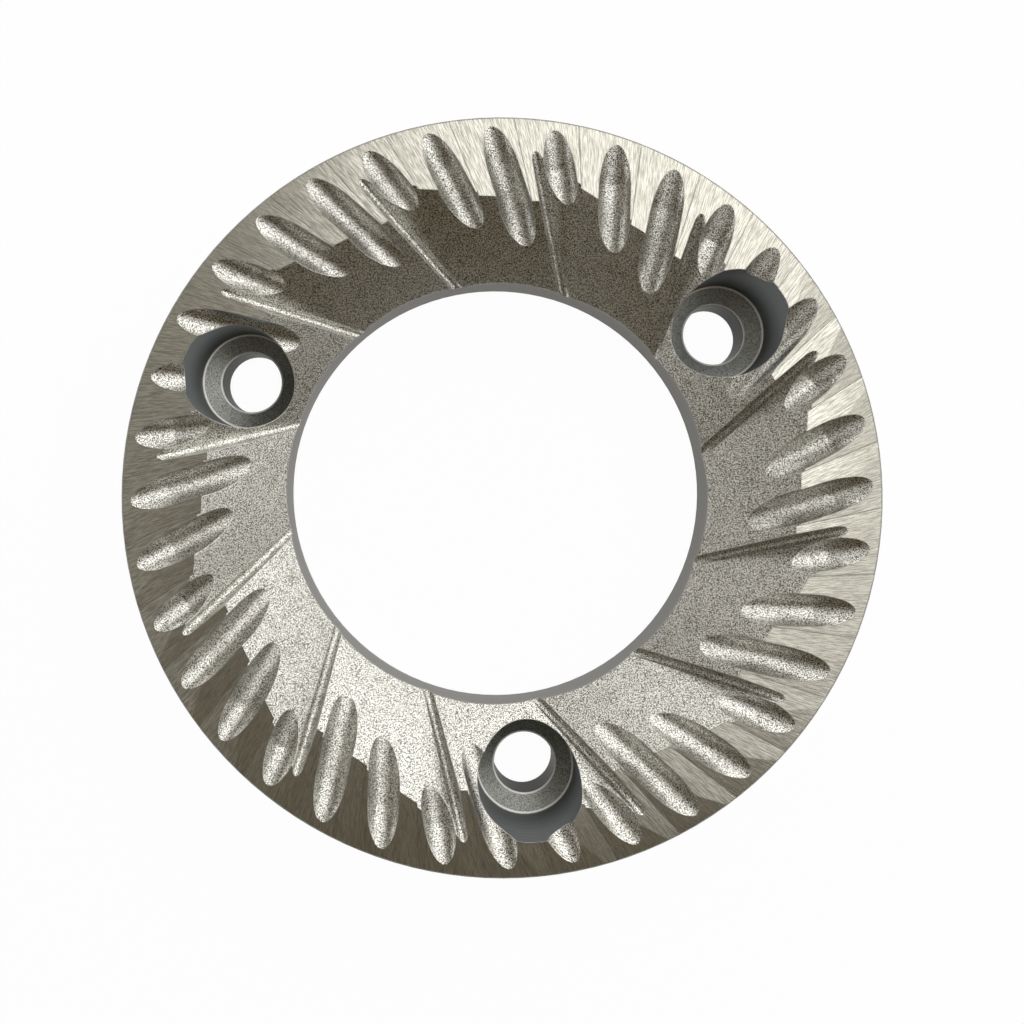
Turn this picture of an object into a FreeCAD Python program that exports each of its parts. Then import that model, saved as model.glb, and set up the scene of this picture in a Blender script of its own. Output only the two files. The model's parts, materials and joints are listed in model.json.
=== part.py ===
import FreeCAD, Part
import math
import os

import Sketcher

# A flat burr for a coffee grinder: one hardened steel ring with its teeth up.
# The back face lies on z = 0 and the ring's axis is the Z axis.
# Every turn is in degrees clockwise from +Y, seen from above, because the teeth slant that way.

RING_SIZES = {
    "rim_diameter": (64.0, "mm, outside of the ring"),
    "bore_diameter": (38.2, "mm, centring bore"),
    "ring_thickness": (9.0, "mm, back face to the ground lands"),
    "rim_chamfer": (0.15, "mm, broken edge round the lands"),
    "back_chamfer": (0.5, "mm, broken edges of the back face"),
    "land_width": (6.8, "mm, rim to the line where a dish facet meets the lands"),
}

BREAKER_SIZES = {
    "breaker_count": (12, "steps round the dish, one for each group of flutes"),
    "breaker_offset": (10.8, "mm, axis to the foot line of a step, in plan"),
    "breaker_turn": (-10.65, "degrees, direction of the first step"),
    "breaker_draft": (14.0, "degrees, lean of a step's flank"),
    "gully_radius": (0.43, "mm, round foot of the flank"),
    "gully_depth": (0.12, "mm, how far the round foot lies below the dish facet"),
    "dish_tilt": (41.3, "degrees, fall of a dish facet"),
    "dish_skew": (52.5, "degrees, from a step's direction to its facet's line of fall"),
}

FLUTE_SIZES = {
    "flute_offset": (9.0, "mm, axis to the centre line of a flute, in plan"),
    "flute_turn": (-2.45, "degrees, direction of the first flute"),
    "flute_pitch": (10.0, "degrees, from one flute to the next"),
    "flute_head_margin": (0.85, "mm, rim to the outer head of a flute"),
    "flute_radius": (1.33, "mm, round bottom of a flute"),
    "flute_head_length": (3.0, "mm, length in plan of the steeper head"),
    "flute_head_incline": (21.0, "degrees, fall of the head's bottom towards the bore"),
    "flute_incline": (6.2, "degrees, fall of the rest of the first flute's bottom"),
    "flute_steepening": (4.1, "degrees, by which each flute of a group falls more than the last"),
}

RELIEF_SIZES = {
    "relief_lead": (6.0, "degrees, from a flute's direction to the edge of the relief beside it"),
    "relief_gap": (0.17, "mm, flute's side to that edge where the dish begins"),
    "relief_tilt": (3.5, "degrees, fall of a relief facet"),
    "relief_skew": (68.6, "degrees, from the relief's edge to its facet's line of fall"),
    "relief_width": (0.95, "mm, width of a relief where it meets the rim"),
}

SCREW_SIZES = {
    "screw_count": (3, "screw holes"),
    "screw_circle_diameter": (49.5, "mm, circle through the screw holes"),
    "screw_hole_diameter": (5.5, "mm, clearance for M5"),
    "recess_diameter": (8.8, "mm, recess for a cap head"),
    "recess_floor": (3.2, "mm, back face to the outer edge of the recess floor"),
    "drill_point_angle": (135.0, "degrees, included angle of the recess floor"),
}

FLUTES_PER_BREAKER = 3

BREAKER_PITCH = "(360 / Sizes.breaker_count)"
BORE_RADIUS = "(Sizes.bore_diameter / 2)"
RIM_RADIUS = "(Sizes.rim_diameter / 2)"

# Each cut runs past what it removes by this much.
RUN_OUT = "(Sizes.ring_thickness / 30)"

DISH_REACH = f"({RIM_RADIUS} - Sizes.land_width)"
DISH_FALL = "tan(Sizes.dish_tilt)"

# Seen along a step's direction, its foot line climbs outwards by this much a millimetre.
FOOT_CLIMB = f"({DISH_FALL} * cos(Sizes.dish_skew))"

# In the section square to the foot line, the facet rises by this angle, and the round foot's
# centre lies this far to the clockwise side and up.
FACET_RISE = f"(atan({DISH_FALL} * sin(Sizes.dish_skew) * cos(atan({FOOT_CLIMB}))) / 1 deg)"
GULLY_CENTRE_ACROSS = (
    f"((Sizes.gully_radius * cos({FACET_RISE})"
    " - (Sizes.gully_radius - Sizes.gully_depth) * sin(Sizes.breaker_draft))"
    f" / cos(Sizes.breaker_draft - {FACET_RISE}))"
)
GULLY_CENTRE_UP = (
    "(((Sizes.gully_radius - Sizes.gully_depth) * cos(Sizes.breaker_draft)"
    f" + Sizes.gully_radius * sin({FACET_RISE}))"
    f" / cos(Sizes.breaker_draft - {FACET_RISE}))"
)

# The facet passes through the lands at DISH_REACH from the axis. This is how high its foot
# line lies where it meets the bore.
STEP_START = f"sqrt({BORE_RADIUS}^2 - Sizes.breaker_offset^2)"
FOOT_HEIGHT = (
    f"(Sizes.ring_thickness - {DISH_FALL} * ({DISH_REACH}"
    f" - Sizes.breaker_offset * sin(Sizes.dish_skew) - {STEP_START} * cos(Sizes.dish_skew)))"
)

# The round foot's cut starts inside the bore.
GULLY_START = f"({STEP_START} * 3 / 4)"
GULLY_HEIGHT = f"({FOOT_HEIGHT} - {FOOT_CLIMB} * ({STEP_START} - {GULLY_START}))"
FOOT_TOP = f"(Sizes.ring_thickness + {RUN_OUT} - {GULLY_HEIGHT})"

# The facet's cut is bounded by the upright plane through the next step's foot line. In that
# plane it starts where the round foot's centre line passes, and ends where the facet comes up
# through the lands.
FACET_SIDE_SKEW = f"(Sizes.dish_skew - {BREAKER_PITCH})"
FACET_START = (
    f"((Sizes.breaker_offset * (1 - cos({BREAKER_PITCH})) + {GULLY_CENTRE_ACROSS})"
    f" / sin({BREAKER_PITCH}))"
)
FACET_END = (
    f"(({DISH_REACH} + {RUN_OUT} / {DISH_FALL} - Sizes.breaker_offset * sin({FACET_SIDE_SKEW}))"
    f" / cos({FACET_SIDE_SKEW}))"
)
FACET_START_HEIGHT = (
    f"(Sizes.ring_thickness + {RUN_OUT}"
    f" - {DISH_FALL} * cos({FACET_SIDE_SKEW}) * ({FACET_END} - {FACET_START}))"
)

# A flute's bottom leaves the lands at its head, falls steeply to the knee, then gently on to
# its start, which is inside the bore.
FLUTE_START = f"(sqrt({BORE_RADIUS}^2 - Sizes.flute_offset^2) * 3 / 4)"
FLUTE_HEAD = f"(sqrt(({RIM_RADIUS} - Sizes.flute_head_margin)^2 - Sizes.flute_offset^2))"
FLUTE_KNEE = f"({FLUTE_HEAD} - Sizes.flute_head_length)"
KNEE_DEPTH = "(tan(Sizes.flute_head_incline) * Sizes.flute_head_length)"
FLUTE_END = f"({FLUTE_HEAD} + Sizes.flute_head_length)"

# The relief's edge passes the flute's clockwise side where the dish begins.
RELIEF_EDGE = (
    "((Sizes.flute_offset + Sizes.flute_radius + Sizes.relief_gap) * cos(Sizes.relief_lead)"
    f" - sqrt({DISH_REACH}^2 - Sizes.flute_offset^2) * sin(Sizes.relief_lead))"
)
RELIEF_START = f"sqrt({BORE_RADIUS}^2 - {RELIEF_EDGE}^2)"
RELIEF_RIM_SIDE = f"({RELIEF_EDGE} + Sizes.relief_width)"
RELIEF_REACH = (
    f"(sqrt({RIM_RADIUS}^2 - {RELIEF_RIM_SIDE}^2) * cos(Sizes.relief_skew)"
    f" + {RELIEF_RIM_SIDE} * sin(Sizes.relief_skew))"
)
RELIEF_DEPTH = (
    f"(tan(Sizes.relief_tilt) * ({RELIEF_REACH} - {RELIEF_START} * cos(Sizes.relief_skew)"
    f" - {RELIEF_EDGE} * sin(Sizes.relief_skew)))"
)

document = FreeCAD.newDocument("CoffeeGrinderBurr")
sheet = document.addObject("Spreadsheet::Sheet", "Sizes")


def fill_sheet():
    """Write each driving size into a row of its own, with its name as the alias."""
    row = 0
    for group in (RING_SIZES, BREAKER_SIZES, FLUTE_SIZES, RELIEF_SIZES, SCREW_SIZES):
        for alias, (value, note) in group.items():
            row += 1
            sheet.set(f"A{row}", alias)
            sheet.set(f"B{row}", str(value))
            sheet.set(f"C{row}", note)
            sheet.setAlias(f"B{row}", alias)
    document.recompute()


def worked_out(formula):
    """Give a formula's present value, as the first guess for a sketch's geometry."""
    return float(sheet.evalExpression(f"({formula}) * 1"))


def cross_sketch(body, name, turn="0", along="0", across="0", height="0", incline="0"):
    """Put a sketch across the direction `turn`, clockwise from +Y.

    Its origin lies `along` that direction from the axis, `across` to the clockwise side and
    `height` up. Its X axis points to the clockwise side. Its Y axis points up, and leans back
    so that the sketch is square to a cut that climbs outwards by `incline` degrees.
    """
    sketch = body.newObject("Sketcher::SketchObject", name)
    upright = [part for part in body.Origin.OriginFeatures if part.Role == "XZ_Plane"][0]
    sketch.AttachmentSupport = (upright, [""])
    sketch.MapMode = "FlatFace"
    east = f"({along}) * sin({turn}) + ({across}) * cos({turn})"
    south = f"({across}) * sin({turn}) - ({along}) * cos({turn})"
    about_height = f"rotation(vector(0; 1; 0); -({turn}))"
    about_width = f"rotation(vector(1; 0; 0); {incline})"
    sketch.setExpression(
        "AttachmentOffset",
        f"placement(vector({east}; {height}; {south}); {about_height} * {about_width})",
    )
    return sketch


def side_sketch(body, name, turn, across):
    """Put an upright sketch along the direction `turn`, `across` from the axis.

    Its X axis points outwards from beside the axis, and its Y axis up from the back face.
    """
    sketch = body.newObject("Sketcher::SketchObject", name)
    upright = [part for part in body.Origin.OriginFeatures if part.Role == "XZ_Plane"][0]
    sketch.AttachmentSupport = (upright, [""])
    sketch.MapMode = "FlatFace"
    east = f"({across}) * cos({turn})"
    south = f"({across}) * sin({turn})"
    about_height = f"rotation(vector(0; 1; 0); 90 - ({turn}))"
    sketch.setExpression(
        "AttachmentOffset", f"placement(vector({east}; 0; {south}); {about_height})"
    )
    return sketch


def measure(sketch, kind, name, formula, *where):
    """Add a named dimension to a sketch and bind it to a formula."""
    index = sketch.addConstraint(Sketcher.Constraint(kind, *where, worked_out(formula)))
    sketch.renameConstraint(index, name)
    sketch.setExpression(f"Constraints.{name}", formula)


def draw_outline(sketch, corners):
    """Draw a closed outline of straight lines through corners given as pairs of formulas."""
    points = [FreeCAD.Vector(worked_out(x), worked_out(y), 0) for x, y in corners]
    following = points[1:] + points[:1]
    for start, end in zip(points, following):
        sketch.addGeometry(Part.LineSegment(start, end), False)
    for line, (x, y) in enumerate(corners):
        after = (line + 1) % len(corners)
        sketch.addConstraint(Sketcher.Constraint("Coincident", line, 2, after, 1))
        measure(sketch, "DistanceX", f"corner_{line}_across", x, -1, 1, line, 1)
        measure(sketch, "DistanceY", f"corner_{line}_up", y, -1, 1, line, 1)


def draw_path(sketch, corners):
    """Draw a run of straight lines through corners given as pairs of formulas."""
    points = [FreeCAD.Vector(worked_out(x), worked_out(y), 0) for x, y in corners]
    for start, end in zip(points, points[1:]):
        sketch.addGeometry(Part.LineSegment(start, end), False)
    for line in range(1, len(corners) - 1):
        sketch.addConstraint(Sketcher.Constraint("Coincident", line - 1, 2, line, 1))
    ends = [(line, 1) for line in range(len(corners) - 1)] + [(len(corners) - 2, 2)]
    for number, ((x, y), where) in enumerate(zip(corners, ends)):
        measure(sketch, "DistanceX", f"corner_{number}_along", x, -1, 1, *where)
        measure(sketch, "DistanceY", f"corner_{number}_up", y, -1, 1, *where)


def turn_blank(body):
    """Turn the plain ring, with its outer and back edges broken."""
    bore = "Sizes.bore_diameter / 2"
    rim = "Sizes.rim_diameter / 2"
    top = "Sizes.ring_thickness"
    section = cross_sketch(body, "RingSection")
    draw_outline(section, [
        (f"{bore} + Sizes.back_chamfer", "0"),
        (f"{rim} - Sizes.back_chamfer", "0"),
        (rim, "Sizes.back_chamfer"),
        (rim, f"{top} - Sizes.rim_chamfer"),
        (f"{rim} - Sizes.rim_chamfer", top),
        (bore, top),
        (bore, "Sizes.back_chamfer"),
    ])
    blank = body.newObject("PartDesign::Revolution", "RingBlank")
    blank.Profile = section
    blank.ReferenceAxis = (section, ["V_Axis"])
    blank.Angle = 360
    return blank


def draw_foot(sketch):
    """Draw the section of a step's foot: leaning flank, round foot and an upright far side."""
    draft = math.radians(worked_out("Sizes.breaker_draft"))
    radius = worked_out("Sizes.gully_radius")
    top = worked_out(FOOT_TOP)
    centre = FreeCAD.Vector(worked_out(GULLY_CENTRE_ACROSS), worked_out(GULLY_CENTRE_UP), 0)
    circle = Part.Circle(centre, FreeCAD.Vector(0, 0, 1), radius)
    flank_foot = centre - FreeCAD.Vector(math.cos(draft), math.sin(draft), 0) * radius
    flank_top = FreeCAD.Vector(-top * math.tan(draft), top, 0)
    far_foot = centre + FreeCAD.Vector(radius, 0, 0)
    far_top = FreeCAD.Vector(far_foot.x, top, 0)
    sketch.addGeometry([
        Part.LineSegment(flank_top, flank_foot),
        Part.ArcOfCircle(circle, math.pi + draft, 2 * math.pi),
        Part.LineSegment(far_foot, far_top),
        Part.LineSegment(far_top, flank_top),
    ], False)
    sketch.addConstraint([
        Sketcher.Constraint("Tangent", 0, 2, 1, 1),
        Sketcher.Constraint("Tangent", 1, 2, 2, 1),
        Sketcher.Constraint("Coincident", 2, 2, 3, 1),
        Sketcher.Constraint("Coincident", 3, 2, 0, 1),
        Sketcher.Constraint("Vertical", 2),
        Sketcher.Constraint("Horizontal", 3),
    ])
    measure(sketch, "Radius", "round_foot", "Sizes.gully_radius", 1)
    measure(sketch, "DistanceX", "centre_across", GULLY_CENTRE_ACROSS, -1, 1, 1, 3)
    measure(sketch, "DistanceY", "centre_up", GULLY_CENTRE_UP, -1, 1, 1, 3)
    measure(sketch, "DistanceX", "flank_lean", f"{FOOT_TOP} * tan(Sizes.breaker_draft)", 0, 1, -1, 1)
    measure(sketch, "DistanceY", "flank_up", FOOT_TOP, -1, 1, 0, 1)


def cut_foot(body):
    """Cut the flank of the first step and the round foot below it."""
    section = cross_sketch(
        body, "FootSection", "Sizes.breaker_turn", GULLY_START, "Sizes.breaker_offset",
        GULLY_HEIGHT, f"atan({FOOT_CLIMB})",
    )
    draw_foot(section)
    cut = body.newObject("PartDesign::Pocket", "FootCut")
    cut.Profile = section
    cut.Type = "ThroughAll"
    return cut


def cut_facet(body):
    """Cut the dish facet that rises from the foot to the next step's crest."""
    next_turn = f"(Sizes.breaker_turn + {BREAKER_PITCH})"
    section = side_sketch(body, "FacetSection", next_turn, "Sizes.breaker_offset")
    top = f"(Sizes.ring_thickness + {RUN_OUT})"
    draw_outline(section, [
        (FACET_START, FACET_START_HEIGHT),
        (FACET_END, top),
        (FACET_START, top),
    ])
    cut = body.newObject("PartDesign::Pocket", "FacetCut")
    cut.Profile = section
    cut.Type = "ThroughAll"
    cut.UseCustomVector = True
    cut.setExpression("Direction.x", "sin(Sizes.breaker_turn)")
    cut.setExpression("Direction.y", "cos(Sizes.breaker_turn)")
    cut.setExpression("Direction.z", FOOT_CLIMB)
    return cut


def draw_flute(sketch, section_top):
    """Draw a flute's section: two upright sides and a round bottom that rests on the origin."""
    radius = worked_out("Sizes.flute_radius")
    top = worked_out(section_top)
    circle = Part.Circle(FreeCAD.Vector(0, radius, 0), FreeCAD.Vector(0, 0, 1), radius)
    left_top = FreeCAD.Vector(-radius, top, 0)
    right_top = FreeCAD.Vector(radius, top, 0)
    left_foot = FreeCAD.Vector(-radius, radius, 0)
    right_foot = FreeCAD.Vector(radius, radius, 0)
    sketch.addGeometry([
        Part.LineSegment(left_top, left_foot),
        Part.ArcOfCircle(circle, math.pi, 2 * math.pi),
        Part.LineSegment(right_foot, right_top),
        Part.LineSegment(right_top, left_top),
    ], False)
    sketch.addConstraint([
        Sketcher.Constraint("Tangent", 0, 2, 1, 1),
        Sketcher.Constraint("Tangent", 1, 2, 2, 1),
        Sketcher.Constraint("Coincident", 2, 2, 3, 1),
        Sketcher.Constraint("Coincident", 3, 2, 0, 1),
        Sketcher.Constraint("Vertical", 0),
        Sketcher.Constraint("Horizontal", 3),
        Sketcher.Constraint("PointOnObject", 1, 3, -2),
    ])
    measure(sketch, "Radius", "bottom_radius", "Sizes.flute_radius", 1)
    measure(sketch, "DistanceY", "centre_up", "Sizes.flute_radius", -1, 1, 1, 3)
    measure(sketch, "DistanceY", "side_up", section_top, -1, 1, 0, 1)


def cut_flute(body, order):
    """Cut one flute of the first group, a round-bottomed slot along a path with a knee."""
    turn = f"(Sizes.flute_turn + {order} * Sizes.flute_pitch)"
    incline = f"(Sizes.flute_incline + {order} * Sizes.flute_steepening)"
    start_depth = f"({KNEE_DEPTH} + tan({incline}) * ({FLUTE_KNEE} - {FLUTE_START}))"
    path = side_sketch(body, f"FlutePath{order + 1}", turn, "Sizes.flute_offset")
    corners = [
        (FLUTE_START, f"Sizes.ring_thickness - {start_depth}"),
        (FLUTE_KNEE, f"Sizes.ring_thickness - {KNEE_DEPTH}"),
        (FLUTE_END, f"Sizes.ring_thickness + {KNEE_DEPTH}"),
    ]
    draw_path(path, corners)
    section = cross_sketch(
        body, f"FluteSection{order + 1}", turn, FLUTE_START, "Sizes.flute_offset",
        f"Sizes.ring_thickness - {start_depth}", incline,
    )
    draw_flute(section, f"({start_depth} / cos({incline}) + {RUN_OUT})")
    cut = body.newObject("PartDesign::SubtractivePipe", f"FluteCut{order + 1}")
    cut.Profile = section
    cut.Spine = (path, ["Edge1", "Edge2"])
    cut.Transition = "Right corner"
    return cut


def cut_relief(body, order):
    """Cut the relief facet on the clockwise side of one flute of the first group."""
    turn = f"(Sizes.flute_turn + {order} * Sizes.flute_pitch + Sizes.relief_lead)"
    section = cross_sketch(
        body, f"ReliefSection{order + 1}", turn, RELIEF_START, RELIEF_EDGE,
        f"Sizes.ring_thickness - {RELIEF_DEPTH}",
    )
    top = f"({RELIEF_DEPTH} + {RUN_OUT})"
    far = f"{top} / (tan(Sizes.relief_tilt) * sin(Sizes.relief_skew))"
    draw_outline(section, [("0", "0"), (far, top), ("0", top)])
    cut = body.newObject("PartDesign::Pocket", f"ReliefCut{order + 1}")
    cut.Profile = section
    cut.Type = "ThroughAll"
    cut.UseCustomVector = True
    cut.setExpression("Direction.x", f"sin({turn})")
    cut.setExpression("Direction.y", f"cos({turn})")
    cut.setExpression("Direction.z", "tan(Sizes.relief_tilt) * cos(Sizes.relief_skew)")
    return cut


def cut_screw_hole(body):
    """Drill the first screw hole, on -Y, with its recess and the floor that the drill left."""
    hole = "Sizes.screw_hole_diameter / 2"
    recess = "Sizes.recess_diameter / 2"
    point_rise = f"({recess} - {hole}) / tan(Sizes.drill_point_angle / 2)"
    above = f"Sizes.ring_thickness + {RUN_OUT}"
    section = cross_sketch(body, "ScrewSection", "180", "Sizes.screw_circle_diameter / 2")
    draw_outline(section, [
        ("0", f"-{RUN_OUT}"),
        (hole, f"-{RUN_OUT}"),
        (hole, f"Sizes.recess_floor - {point_rise}"),
        (recess, "Sizes.recess_floor"),
        (recess, above),
        ("0", above),
    ])
    cut = body.newObject("PartDesign::Groove", "ScrewCut")
    cut.Profile = section
    cut.ReferenceAxis = (section, ["V_Axis"])
    cut.Angle = 360
    return cut


def repeat_round(body, name, features, count):
    """Repeat features evenly round the ring's axis."""
    pattern = body.newObject("PartDesign::PolarPattern", name)
    pattern.Originals = features
    up = [part for part in body.Origin.OriginFeatures if part.Role == "Z_Axis"][0]
    pattern.Axis = (up, [""])
    pattern.Angle = 360
    pattern.setExpression("Occurrences", count)
    body.Tip = pattern
    return pattern


def build_burr():
    """Build the burr: blank, screw holes, steps and dish, flutes and their reliefs."""
    body = document.addObject("PartDesign::Body", "Burr")
    body.Label = "burr_ring"
    turn_blank(body)
    document.recompute()
    hole = cut_screw_hole(body)
    repeat_round(body, "ScrewPattern", [hole], "Sizes.screw_count")
    document.recompute()
    step = [cut_foot(body), cut_facet(body)]
    repeat_round(body, "BreakerPattern", step, "Sizes.breaker_count")
    document.recompute()
    flutes = [cut_flute(body, order) for order in range(FLUTES_PER_BREAKER)]
    repeat_round(body, "FlutePattern", flutes, "Sizes.breaker_count")
    document.recompute()
    reliefs = [cut_relief(body, order) for order in range(FLUTES_PER_BREAKER)]
    repeat_round(body, "ReliefPattern", reliefs, "Sizes.breaker_count")
    document.recompute()
    return body


def check_model(body):
    """Stop if any object failed, if a cut removed nothing, or if the shape isn't one solid."""
    for thing in document.Objects:
        if "Invalid" in thing.State or "Error" in thing.State:
            raise RuntimeError(f"{thing.Name} failed: {thing.State}")
    before = None
    for feature in body.Group:
        if not feature.isDerivedFrom("PartDesign::Feature"):
            continue
        volume = feature.Shape.Volume
        if before is not None and volume >= before:
            raise RuntimeError(f"{feature.Name} cut nothing")
        before = volume
    if body.Shape.isNull() or not body.Shape.isValid() or len(body.Shape.Solids) != 1:
        raise RuntimeError("the burr isn't one valid solid")


fill_sheet()
burr = build_burr()
check_model(burr)
os.makedirs("parts", exist_ok=True)
burr.Shape.exportStep(f"parts/{burr.Label}.step")
box = burr.Shape.optimalBoundingBox()
print(f"{burr.Label}: {burr.Shape.Volume:.1f} mm3, {len(burr.Shape.Faces)} faces,"
      f" {box.XLength:.2f} x {box.YLength:.2f} x {box.ZLength:.2f} mm")
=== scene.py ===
"""A flat coffee grinder burr of hardened steel on a plain pale floor, under soft studio light."""

import json
import logging
import math
from dataclasses import dataclass, field
from enum import Enum
from typing import Any, ClassVar, Dict, List, Optional, Tuple, Union

import bpy
from mathutils import Matrix, Vector

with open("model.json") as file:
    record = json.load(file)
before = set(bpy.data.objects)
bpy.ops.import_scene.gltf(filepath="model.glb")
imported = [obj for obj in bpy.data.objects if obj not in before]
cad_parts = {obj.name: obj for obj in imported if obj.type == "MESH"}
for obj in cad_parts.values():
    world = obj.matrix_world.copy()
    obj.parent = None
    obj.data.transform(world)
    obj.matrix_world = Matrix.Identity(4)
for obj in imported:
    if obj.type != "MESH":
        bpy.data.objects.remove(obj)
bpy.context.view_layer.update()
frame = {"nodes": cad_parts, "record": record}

LOG = logging.getLogger("burr")
MM = 0.001
NODE = "burr_ring"
NOISE_MEAN = 0.5

Colour = Tuple[float, float, float]
Band = Tuple[float, float]
Socket = Union[str, int]
Value = Union["Wire", float]


def mount_sizes(name: str) -> Dict[str, float]:
    """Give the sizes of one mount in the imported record, in millimetres.

    Args:
        name: the mount's name.

    Returns:
        Its sizes by name.
    """
    return next(mount["dims"] for mount in frame["record"]["mounts"] if mount["name"] == name)


class Maths(Enum):
    """The Math node operations that the finishes use."""

    ADD = "ADD"
    SUBTRACT = "SUBTRACT"
    MULTIPLY = "MULTIPLY"
    POWER = "POWER"
    MINIMUM = "MINIMUM"
    MAXIMUM = "MAXIMUM"
    ARCTAN2 = "ARCTAN2"
    SQRT = "SQRT"
    SINE = "SINE"
    COSINE = "COSINE"


class Wire:
    """One output of a shader node, on which plain arithmetic adds Math nodes."""

    def __init__(self, desk: "NodeDesk", socket: Optional[bpy.types.NodeSocket]) -> None:
        """Hold a socket.

        Args:
            desk: the node desk that the socket belongs to.
            socket: the output socket, or None for a node that has no outputs.
        """
        self.desk = desk
        self.socket = socket

    def __add__(self, other: Value) -> "Wire":
        """Add."""
        return self.desk.maths(Maths.ADD, self, other)

    def __sub__(self, other: Value) -> "Wire":
        """Take away."""
        return self.desk.maths(Maths.SUBTRACT, self, other)

    def __rsub__(self, other: Value) -> "Wire":
        """Take away from a number."""
        return self.desk.maths(Maths.SUBTRACT, other, self)

    def __mul__(self, other: Value) -> "Wire":
        """Multiply."""
        return self.desk.maths(Maths.MULTIPLY, self, other)

    def __pow__(self, other: Value) -> "Wire":
        """Raise to a power."""
        return self.desk.maths(Maths.POWER, self, other)

    def root(self) -> "Wire":
        """Take the square root."""
        return self.desk.maths(Maths.SQRT, self)

    def sine(self) -> "Wire":
        """Take the sine."""
        return self.desk.maths(Maths.SINE, self)

    def cosine(self) -> "Wire":
        """Take the cosine."""
        return self.desk.maths(Maths.COSINE, self)

    def least(self, other: Value) -> "Wire":
        """Take the smaller of two."""
        return self.desk.maths(Maths.MINIMUM, self, other)

    def most(self, other: Value) -> "Wire":
        """Take the larger of two."""
        return self.desk.maths(Maths.MAXIMUM, self, other)

    def between(self, low: float, high: float) -> "Wire":
        """Give 0 at `low`, 1 at `high` and a soft step between them."""
        return self.desk.node(
            "ShaderNodeMapRange",
            {"interpolation_type": "SMOOTHSTEP"},
            {"Value": self, "From Min": low, "From Max": high},
        )


class NodeDesk:
    """Lays out the nodes of one material or world."""

    def __init__(self, tree: bpy.types.NodeTree) -> None:
        """Start from an empty tree.

        Args:
            tree: the node tree, which is cleared.
        """
        self.tree = tree
        tree.nodes.clear()

    def connect(self, value: Any, socket: bpy.types.NodeSocket) -> None:
        """Put a number or colour on an input socket, or a link into it.

        Args:
            value: a Wire, a number, or a colour.
            socket: the input socket.
        """
        if isinstance(value, Wire):
            self.tree.links.new(value.socket, socket)
        elif isinstance(value, tuple) and socket.type == "RGBA":
            socket.default_value = (*value, 1.0)
        else:
            socket.default_value = value

    def node(
        self,
        kind: str,
        settings: Optional[Dict[str, Any]] = None,
        inputs: Optional[Dict[Socket, Any]] = None,
        output: Socket = 0,
    ) -> Wire:
        """Add a node.

        Args:
            kind: the node's type name.
            settings: what is set on the node first.
            inputs: values or links by socket name or number.
            output: the output socket to give back.

        Returns:
            The output as a Wire.
        """
        made = self.tree.nodes.new(kind)
        for name, value in (settings or {}).items():
            setattr(made, name, value)
        for name, value in (inputs or {}).items():
            self.connect(value, made.inputs[name])
        return Wire(self, made.outputs[output] if len(made.outputs) else None)

    def taps(self, kind: str, inputs: Dict[Socket, Any], *outputs: Socket) -> List[Wire]:
        """Add a node that gives several outputs.

        Args:
            kind: the node's type name.
            inputs: values or links by socket name or number.
            outputs: the output sockets to give back.

        Returns:
            The outputs as Wires.
        """
        made = self.node(kind, None, inputs).socket.node
        return [Wire(self, made.outputs[name]) for name in outputs]

    def maths(self, operation: Maths, *values: Value) -> Wire:
        """Add a Math node on one or two values."""
        return self.node(
            "ShaderNodeMath", {"operation": operation.value}, dict(enumerate(values))
        )

    def vector(self, x: Value, y: Value, z: Value) -> Wire:
        """Join three values into a vector."""
        return self.node("ShaderNodeCombineXYZ", None, {"X": x, "Y": y, "Z": z})

    def blend(self, share: Value, first: Any, second: Any) -> Wire:
        """Mix two colours.

        Args:
            share: 0 for the first, 1 for the second.
            first: a colour or a Wire.
            second: a colour or a Wire.

        Returns:
            The mixed colour.
        """
        return self.node(
            "ShaderNodeMix", {"data_type": "RGBA"}, {0: share, 6: first, 7: second}, 2
        )

    def bend(self, share: Value, first: Wire, second: Wire) -> Wire:
        """Mix two directions.

        Args:
            share: 0 for the first, 1 for the second.
            first: a direction.
            second: a direction.

        Returns:
            The mixed direction.
        """
        return self.node(
            "ShaderNodeMix", {"data_type": "VECTOR"}, {0: share, 4: first, 5: second}, 1
        )

    def cloud(self, where: Wire, scale: float, detail: float = 2.0, rough: float = 0.5) -> Wire:
        """Add a noise texture.

        Args:
            where: the coordinates.
            scale: waves a unit of the coordinates.
            detail: how many finer layers it has.
            rough: the share of each finer layer.

        Returns:
            The noise, about NOISE_MEAN.
        """
        return self.node(
            "ShaderNodeTexNoise",
            None,
            {"Vector": where, "Scale": scale, "Detail": detail, "Roughness": rough},
        )


@dataclass(frozen=True)
class Place:
    """Where a point lies on the burr: coordinates in millimetres, and facing."""

    spot: Wire
    x: Wire
    y: Wire
    z: Wire
    reach: Wire
    turn: Wire
    facing: Wire
    up: Wire

    @staticmethod
    def read(desk: NodeDesk) -> "Place":
        """Read the point from the object's own coordinates."""
        metres = desk.node("ShaderNodeTexCoord", output="Object")
        spot = desk.node(
            "ShaderNodeVectorMath", {"operation": "SCALE"}, {0: metres, "Scale": 1.0 / MM}
        )
        x, y, z = desk.taps("ShaderNodeSeparateXYZ", {0: spot}, "X", "Y", "Z")
        facing = desk.node("ShaderNodeNewGeometry", output="Normal")
        return Place(
            spot=spot,
            x=x,
            y=y,
            z=z,
            reach=(x * x + y * y).root(),
            turn=desk.maths(Maths.ARCTAN2, y, x),
            facing=facing,
            up=desk.node("ShaderNodeSeparateXYZ", None, {0: facing}, "Z"),
        )


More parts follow.
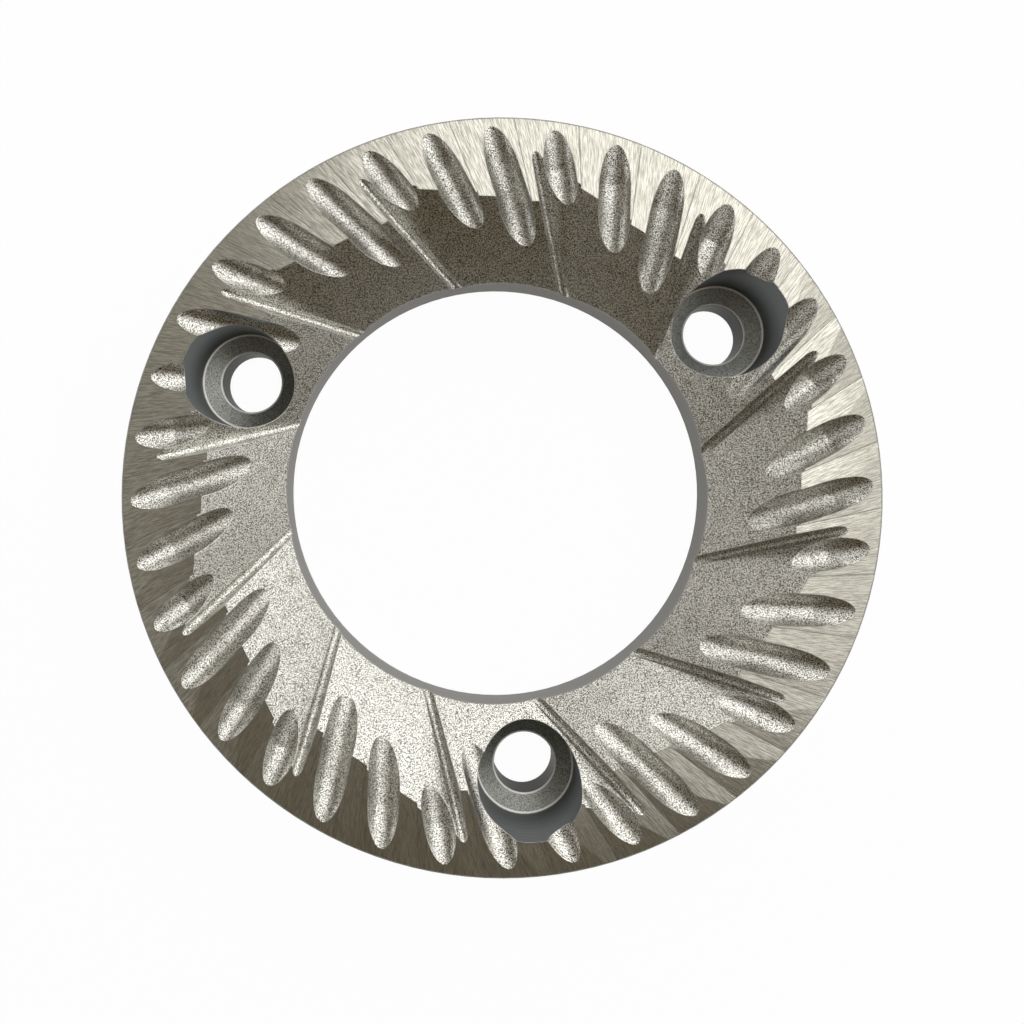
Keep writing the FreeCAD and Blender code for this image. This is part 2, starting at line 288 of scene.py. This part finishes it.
@dataclass(frozen=True)
class Coat:
    """What a finish gives at each point: colour, roughness, height and bare metal's share.

    A coat with no height of its own keeps the height of what lies under it.
    """

    colour: Union[Wire, Colour]
    rough: Value
    height: Optional[Value]
    metal: Value

    def over(self, desk: NodeDesk, share: Wire, other: "Coat") -> "Coat":
        """Lay another coat over this one.

        Args:
            desk: the node desk.
            share: 1 where the other coat covers.
            other: the other coat.

        Returns:
            The two as one coat.
        """
        height = self.height
        if other.height is not None:
            height = share * (other.height - self.height) + self.height
        return Coat(
            colour=desk.blend(share, self.colour, other.colour),
            rough=share * (other.rough - self.rough) + self.rough,
            height=height,
            metal=share * (other.metal - self.metal) + self.metal,
        )


@dataclass(frozen=True)
class BlastedSteel:
    """The grainy matt steel of the dish and the flutes, its grain in waves a millimetre."""

    dark: Colour = (0.10, 0.093, 0.068)
    pale: Colour = (0.94, 0.936, 0.885)
    grain: float = 11.5
    grain_detail: float = 1.0
    patch_size: float = 16.0
    patch_strength: float = 0.08
    tone_band: Band = (0.40, 0.56)
    rough: float = 0.32
    rough_spread: float = 0.12
    grain_height: float = 0.030
    metal: float = 0.97

    def coat(self, desk: NodeDesk, place: Place) -> Coat:
        """Lay out the grain as specks of tone and height, a little uneven from patch to patch."""
        specks = desk.cloud(place.spot, self.grain, detail=self.grain_detail)
        patches = desk.cloud(place.spot, self.grain / self.patch_size)
        uneven = specks + (patches - NOISE_MEAN) * self.patch_strength
        return Coat(
            colour=desk.blend(uneven.between(*self.tone_band), self.dark, self.pale),
            rough=(specks - NOISE_MEAN) * self.rough_spread + self.rough,
            height=specks * self.grain_height,
            metal=self.metal,
        )


@dataclass(frozen=True)
class GroundSteel:
    """The ground lands, with fine lines along the slant of the flutes, in millimetres."""

    dark: Colour = (0.37, 0.361, 0.308)
    pale: Colour = (0.74, 0.732, 0.655)
    slant: float = 9.0
    line_pitch: float = 0.08
    pitch_reach: float = 29.0
    line_length: float = 1.0
    line_rough: float = 0.6
    tone_band: Band = (0.3, 0.7)
    rough: float = 0.21
    rough_spread: float = -0.08
    line_height: float = 0.005
    metal: float = 0.9

    def coat(self, desk: NodeDesk, place: Place) -> Coat:
        """Lay out the grinding lines, which all touch one circle about the axis."""
        along = (place.reach * place.reach - self.slant**2).most(0.0).root()
        ray = place.turn + desk.maths(Maths.ARCTAN2, self.slant, along)
        lines_a_turn = self.pitch_reach / self.line_pitch
        lines_at = desk.vector(
            ray.cosine() * lines_a_turn, ray.sine() * lines_a_turn, along * (1.0 / self.line_length)
        )
        lines = desk.cloud(lines_at, 1.0, rough=self.line_rough)
        tone = lines.between(*self.tone_band)
        return Coat(
            colour=desk.blend(tone, self.dark, self.pale),
            rough=(tone - NOISE_MEAN) * self.rough_spread + self.rough,
            height=lines * self.line_height,
            metal=self.metal,
        )


@dataclass(frozen=True)
class TurnedSteel:
    """Smooth turned steel, with faint rings about an axis, in millimetres."""

    tint: Colour = (0.27, 0.265, 0.25)
    ring_tone: float = 0.72
    ring_pitch: float = 0.16
    tone_band: Band = (0.25, 0.7)
    rough: float = 0.5
    rough_spread: float = 0.1
    ring_height: float = 0.003
    metal: float = 0.1

    def coat(self, desk: NodeDesk, across: Wire, deep: Wire) -> Coat:
        """Lay out the rings.

        Args:
            desk: the node desk.
            across: the distance from the axis that the rings go round.
            deep: the distance along that axis.

        Returns:
            The coat.
        """
        at = desk.vector(across * (1.0 / self.ring_pitch), deep * (1.0 / self.ring_pitch), 0.0)
        rings = desk.cloud(at, 1.0)
        darker = tuple(part * self.ring_tone for part in self.tint)
        return Coat(
            colour=desk.blend(rings.between(*self.tone_band), darker, self.tint),
            rough=(rings - NOISE_MEAN) * self.rough_spread + self.rough,
            height=rings * self.ring_height,
            metal=self.metal,
        )


@dataclass(frozen=True)
class EdgeLine:
    """A thin line painted along the edges: a painted highlight on some, a painted line of shade on
    others.

    The bend band is the cosine between the rounded and the flat normal: the line is full at
    the first value and gone at the second.
    """

    tint: Colour
    rough: float
    metal: float
    bend_band: Band
    strength: float

    def share(self, agree: Wire) -> Wire:
        """Find the edges, where the rounded normal leaves the flat one.

        Args:
            agree: the cosine between the rounded normal and the flat one.

        Returns:
            The line's strength on an edge and 0 away from it.
        """
        return (1.0 - agree.between(*self.bend_band)) * self.strength

    def coat(self) -> Coat:
        """Give the line's plain finish."""
        return Coat(colour=self.tint, rough=self.rough, height=None, metal=self.metal)


@dataclass(frozen=True)
class Regions:
    """The burr's surfaces, each 1 on the surface and 0 off it."""

    lands: Wire
    back: Wire
    rim: Wire
    bore: Wire
    recess: Wire
    recess_floor: Wire
    screw_hole: Wire
    seam_highlights: Wire


@dataclass
class BurrRing:
    """The burr: one steel ring with its dish, steps, flutes and screw holes.

    The sizes are in millimetres. A band gives the two ends of the soft step at the border of a
    finish: distances from the edge that it lies along, or upward shares of the normal.
    """

    rim_radius: float = mount_sizes("rim")["r_mm"]
    bore_radius: float = mount_sizes("bore")["r_mm"]
    thickness: float = 9.0
    screw_circle_radius: float = mount_sizes("screw_holes")["pcd_mm"] / 2
    screw_hole_radius: float = mount_sizes("screw_holes")["hole_r_mm"]
    screw_count: int = mount_sizes("screw_holes")["count"]
    recess_radius: float = 4.4

    land_depth_band: Band = (0.45, 0.35)
    land_up_band: Band = (0.985, 0.992)
    back_band: Band = (0.02, 0.06)
    rim_band: Band = (0.2, 0.12)
    bore_band: Band = (0.02, 0.05)
    recess_band: Band = (0.01, 0.04)
    floor_up_band: Band = (0.6, 0.7)
    screw_hole_band: Band = (0.01, 0.03)
    seam_band: Band = (0.2, 0.12)
    lip_band: Band = (0.1, 0.18)
    # Strength of the painted highlight along the recess floor's seam and the screw hole's lip.
    seam_highlight_strength: float = 0.8

    edge_radius: float = 0.13
    edge_samples: int = 4
    specular: float = 0.25

    blasted: BlastedSteel = field(default_factory=BlastedSteel)
    ground: GroundSteel = field(default_factory=GroundSteel)
    bore_finish: TurnedSteel = field(default_factory=TurnedSteel)
    recess_finish: TurnedSteel = field(
        default_factory=lambda: TurnedSteel(tint=(0.17, 0.185, 0.185), rough=0.42, metal=0.7)
    )
    recess_floor_finish: BlastedSteel = field(
        default_factory=lambda: BlastedSteel(
            dark=(0.12, 0.12, 0.11), pale=(0.32, 0.33, 0.31), rough=0.38, grain_height=0.025
        )
    )
    screw_hole_finish: TurnedSteel = field(
        default_factory=lambda: TurnedSteel(tint=(0.05, 0.048, 0.042), metal=0.6)
    )
    # Painted highlight: a pale coat along the edges off the lands, standing in for edge highlights.
    painted_edge_highlight: EdgeLine = field(
        default_factory=lambda: EdgeLine(
            tint=(0.88, 0.87, 0.83), rough=0.35, metal=0.35, bend_band=(0.88, 0.975), strength=0.8
        )
    )
    # Painted shade: a dark line along the edges of the lands.
    painted_edge_shade: EdgeLine = field(
        default_factory=lambda: EdgeLine(
            tint=(0.06, 0.055, 0.045), rough=0.5, metal=0.2, bend_band=(0.95, 0.997), strength=0.75
        )
    )

    def screw_distance(self, place: Place) -> Wire:
        """Give the distance from the nearest screw hole's axis."""
        distances: List[Wire] = []
        for number in range(self.screw_count):
            turn = math.pi + number * 2 * math.pi / self.screw_count
            x = self.screw_circle_radius * math.sin(turn)
            y = self.screw_circle_radius * math.cos(turn)
            distances.append(((place.x - x) ** 2.0 + (place.y - y) ** 2.0).root())
        nearest = distances[0]
        for distance in distances[1:]:
            nearest = nearest.least(distance)
        return nearest

    def regions(self, place: Place, screw: Wire) -> Regions:
        """Find the surfaces by place and facing.

        Args:
            place: the point on the burr.
            screw: the distance from the nearest screw hole's axis.

        Returns:
            The surfaces.
        """
        land_height = place.z.between(*(self.thickness - depth for depth in self.land_depth_band))
        recess = 1.0 - screw.between(*(self.recess_radius + past for past in self.recess_band))
        recess_floor = recess * place.up.between(*self.floor_up_band)
        # Painted highlight lines: the recess floor's edge at its wall, and the screw hole's lip.
        seam = screw.between(*(self.recess_radius - inside for inside in self.seam_band))
        lip = 1.0 - screw.between(*(self.screw_hole_radius + past for past in self.lip_band))
        return Regions(
            lands=land_height * place.up.between(*self.land_up_band),
            back=1.0 - place.z.between(*self.back_band),
            rim=place.reach.between(*(self.rim_radius - inside for inside in self.rim_band)),
            bore=1.0 - place.reach.between(*(self.bore_radius + past for past in self.bore_band)),
            recess=recess,
            recess_floor=recess_floor,
            screw_hole=1.0
            - screw.between(*(self.screw_hole_radius + past for past in self.screw_hole_band)),
            seam_highlights=seam.most(lip) * recess_floor,
        )

    def steel_coat(self, desk: NodeDesk, place: Place) -> Tuple[Coat, Regions]:
        """Lay each surface's finish over the blasted steel.

        Args:
            desk: the node desk.
            place: the point on the burr.

        Returns:
            The coat and the surfaces.
        """
        screw = self.screw_distance(place)
        on = self.regions(place, screw)
        bore = self.bore_finish.coat(desk, place.reach, place.z)
        layers = (
            (on.lands.most(on.back), self.ground.coat(desk, place)),
            (on.bore.most(on.rim * (1.0 - on.lands)), bore),
            (on.recess, self.recess_finish.coat(desk, screw, place.z)),
            (on.recess_floor, self.recess_floor_finish.coat(desk, place)),
            (on.screw_hole, self.screw_hole_finish.coat(desk, screw, place.z)),
        )
        coat = self.blasted.coat(desk, place)
        for share, finish in layers:
            coat = coat.over(desk, share, finish)
        return coat, on

    def dress(self, ring: bpy.types.Object) -> None:
        """Give the ring its steel, with a painted highlight on its edges and recess seams, and a
        painted line of shade along the edges on the lands.

        Args:
            ring: the CAD node's object, whose mesh stays as it is.
        """
        material = bpy.data.materials.new("burr_steel")
        material.use_nodes = True
        desk = NodeDesk(material.node_tree)
        place = Place.read(desk)
        coat, on = self.steel_coat(desk, place)
        rounded = desk.node(
            "ShaderNodeBevel", {"samples": self.edge_samples}, {"Radius": self.edge_radius * MM}
        )
        agree = desk.node(
            "ShaderNodeVectorMath",
            {"operation": "DOT_PRODUCT"},
            {0: rounded, 1: place.facing},
            "Value",
        )
        # Painted highlight: the pale coat on the edges off the lands and on the recess seam and
        # hole lip.
        edge_highlight_share = (self.painted_edge_highlight.share(agree) * (1.0 - on.lands)).most(on.seam_highlights * self.seam_highlight_strength)
        coat = coat.over(desk, edge_highlight_share, self.painted_edge_highlight.coat())
        # Painted shade: a dark line along the edges on the lands.
        coat = coat.over(desk, self.painted_edge_shade.share(agree) * on.lands, self.painted_edge_shade.coat())
        normal = desk.bend(on.lands, rounded, place.facing)
        bump = desk.node(
            "ShaderNodeBump",
            None,
            {"Strength": 1.0, "Distance": MM, "Height": coat.height, "Normal": normal},
        )
        steel = desk.node(
            "ShaderNodeBsdfPrincipled",
            None,
            {
                "Base Color": coat.colour,
                "Metallic": coat.metal,
                "Roughness": coat.rough,
                "Specular IOR Level": self.specular,
                "Normal": bump,
            },
        )
        desk.node("ShaderNodeOutputMaterial", None, {"Surface": steel})
        ring.data.materials.clear()
        ring.data.materials.append(material)


@dataclass(frozen=True)
class Viewpoint:
    """The camera, in millimetres, pixels and radians, from the ring's axis in the picture."""

    right: float = -4.10
    up: float = 0.89
    height: float = 75.25
    focus: float = 787.8
    tilt_up: float = 0.0270
    tilt_right: float = 0.0109
    centre_x: float = 442.8
    centre_y: float = 461.1
    near: float = 5.0

    PICTURE_SIZE: ClassVar[float] = 1024.0
    PICTURE_TURN: ClassVar[float] = 5.85
    SENSOR: ClassVar[float] = 36.0

    @staticmethod
    def picture_direction(turn: float) -> Tuple[float, float]:
        """Give the x and y of a direction in the picture.

        Args:
            turn: degrees clockwise from the picture's top.

        Returns:
            The direction's x and y.
        """
        angle = math.radians(turn + Viewpoint.PICTURE_TURN)
        return math.sin(angle), math.cos(angle)

    def build(self) -> bpy.types.Object:
        """Make the camera.

        Returns:
            The camera's object.
        """
        size = self.PICTURE_SIZE
        data = bpy.data.cameras.new("camera")
        data.sensor_width = self.SENSOR
        data.lens = self.focus / size * self.SENSOR
        data.shift_x = (size / 2 - self.centre_x) / size
        data.shift_y = (self.centre_y - size / 2) / size
        data.clip_start = self.near * MM
        camera = bpy.data.objects.new("camera", data)
        bpy.context.scene.collection.objects.link(camera)
        across = Vector((*self.picture_direction(90.0), 0.0))
        upward = Vector((*self.picture_direction(0.0), 0.0))
        picture = Matrix((across, upward, Vector((0.0, 0.0, 1.0)))).transposed()
        lean = Matrix.Rotation(self.tilt_right, 3, "Y") @ Matrix.Rotation(self.tilt_up, 3, "X")
        spot = (across * self.right + upward * self.up) * MM
        spot.z = self.height * MM
        camera.matrix_world = Matrix.Translation(spot) @ (picture @ lean).to_4x4()
        bpy.context.scene.camera = camera
        return camera


@dataclass(frozen=True)
class Lamp:
    """A soft rectangular lamp that faces the ring, placed and sized in degrees as seen from it.

    The turn is clockwise from the picture's top, the rise is above the floor, and a glow of 1
    is white.
    """

    name: str
    turn: float
    rise: float
    wide: float
    high: float
    glow: float

    def hang(self, away: float) -> None:
        """Hang the lamp.

        Args:
            away: its distance from the ring's centre, in metres.
        """
        data = bpy.data.lights.new(self.name, "AREA")
        data.shape = "RECTANGLE"
        data.size = 2 * away * math.tan(math.radians(self.wide / 2))
        data.size_y = 2 * away * math.tan(math.radians(self.high / 2))
        data.energy = self.glow * math.pi * data.size * data.size_y
        lamp = bpy.data.objects.new(self.name, data)
        bpy.context.scene.collection.objects.link(lamp)
        x, y = Viewpoint.picture_direction(self.turn)
        rise = math.radians(self.rise)
        level = math.cos(rise) * away
        lamp.location = Vector((x * level, y * level, math.sin(rise) * away))
        lamp.rotation_mode = "QUATERNION"
        lamp.rotation_quaternion = lamp.location.to_track_quat("Z", "Y")
        lamp.visible_camera = False


@dataclass
class Studio:
    """The floor, the lamps and the dim room, in metres."""

    floor_radius: float = 1.5
    floor_sides: int = 64
    floor_colour: Colour = (0.93, 0.93, 0.93)
    white: Colour = (1.0, 1.0, 1.0)
    white_share: float = 0.97
    room_colour: Colour = (0.092, 0.071, 0.039)
    lamp_distance: float = 0.6
    lamps: Tuple[Lamp, ...] = (
        Lamp("low_left", turn=331.0, rise=12.0, wide=42.0, high=17.0, glow=2.15),
        Lamp("low_middle", turn=15.0, rise=15.0, wide=40.0, high=25.0, glow=1.45),
        Lamp("low_right", turn=50.0, rise=15.0, wide=30.0, high=25.0, glow=1.6),
        Lamp("window", turn=38.0, rise=42.0, wide=72.0, high=30.0, glow=1.45),
        Lamp("overhead", turn=26.0, rise=69.0, wide=36.0, high=28.0, glow=1.5),
        Lamp("right_overhead", turn=100.0, rise=64.0, wide=26.0, high=24.0, glow=0.8),
        Lamp("right_window", turn=92.0, rise=42.0, wide=36.0, high=26.0, glow=1.2),
        Lamp("zenith", turn=60.0, rise=87.0, wide=24.0, high=24.0, glow=0.65),
        Lamp("left_fill", turn=269.0, rise=11.0, wide=60.0, high=12.0, glow=2.45),
        Lamp("left_overhead", turn=285.0, rise=62.0, wide=70.0, high=30.0, glow=0.2),
        Lamp("right_fill", turn=86.0, rise=14.0, wide=38.0, high=20.0, glow=0.42),
    )

    def floor_material(self) -> bpy.types.Material:
        """Make the floor's white, which still takes the ring's shadow.

        Returns:
            The material.
        """
        material = bpy.data.materials.new("floor_white")
        material.use_nodes = True
        desk = NodeDesk(material.node_tree)
        matt = desk.node("ShaderNodeBsdfDiffuse", None, {"Color": self.floor_colour})
        white = desk.node("ShaderNodeEmission", None, {"Color": self.white, "Strength": 1.0})
        camera, glossy, clear = desk.taps(
            "ShaderNodeLightPath", {}, "Is Camera Ray", "Is Glossy Ray", "Is Transmission Ray"
        )
        share = camera.most(glossy).most(clear) * self.white_share
        surface = desk.node("ShaderNodeMixShader", None, {0: share, 1: matt, 2: white})
        desk.node("ShaderNodeOutputMaterial", None, {"Surface": surface})
        return material

    def lay_floor(self) -> bpy.types.Object:
        """Make the pale floor under the ring.

        Returns:
            The floor's object.
        """
        turns = [2 * math.pi * side / self.floor_sides for side in range(self.floor_sides)]
        rim = [
            (self.floor_radius * math.cos(turn), self.floor_radius * math.sin(turn), 0.0)
            for turn in turns
        ]
        mesh = bpy.data.meshes.new("floor")
        mesh.from_pydata(rim, [], [list(range(self.floor_sides))])
        mesh.materials.append(self.floor_material())
        floor = bpy.data.objects.new("floor", mesh)
        bpy.context.scene.collection.objects.link(floor)
        return floor

    def light_room(self) -> None:
        """Fill the room with a dim even light."""
        world = bpy.data.worlds.new("room")
        bpy.context.scene.world = world
        world.use_nodes = True
        desk = NodeDesk(world.node_tree)
        glow = desk.node("ShaderNodeBackground", None, {"Color": self.room_colour, "Strength": 1.0})
        desk.node("ShaderNodeOutputWorld", None, {"Surface": glow})

    def build(self) -> bpy.types.Object:
        """Lay the floor, light the room and hang the lamps.

        Returns:
            The floor's object.
        """
        floor = self.lay_floor()
        self.light_room()
        for lamp in self.lamps:
            lamp.hang(self.lamp_distance)
        return floor


def main() -> None:
    """Build the scene in order and report each piece."""
    logging.basicConfig(level=logging.INFO, format="%(name)s: %(message)s")
    bpy.context.scene.view_settings.view_transform = "Standard"
    ring = frame["nodes"][NODE]
    BurrRing().dress(ring)
    LOG.info("%s: dressed, %d faces", NODE, len(ring.data.polygons))
    studio = Studio()
    floor = studio.build()
    LOG.info("%s: laid, %.1f m across", floor.name, 2 * studio.floor_radius)
    LOG.info("lamps: %d hung", len(studio.lamps))
    camera = Viewpoint().build()
    LOG.info("%s: %.1f mm lens, %.0f mm up", camera.name, camera.data.lens, camera.location.z / MM)


if __name__ == "__main__":
    main()
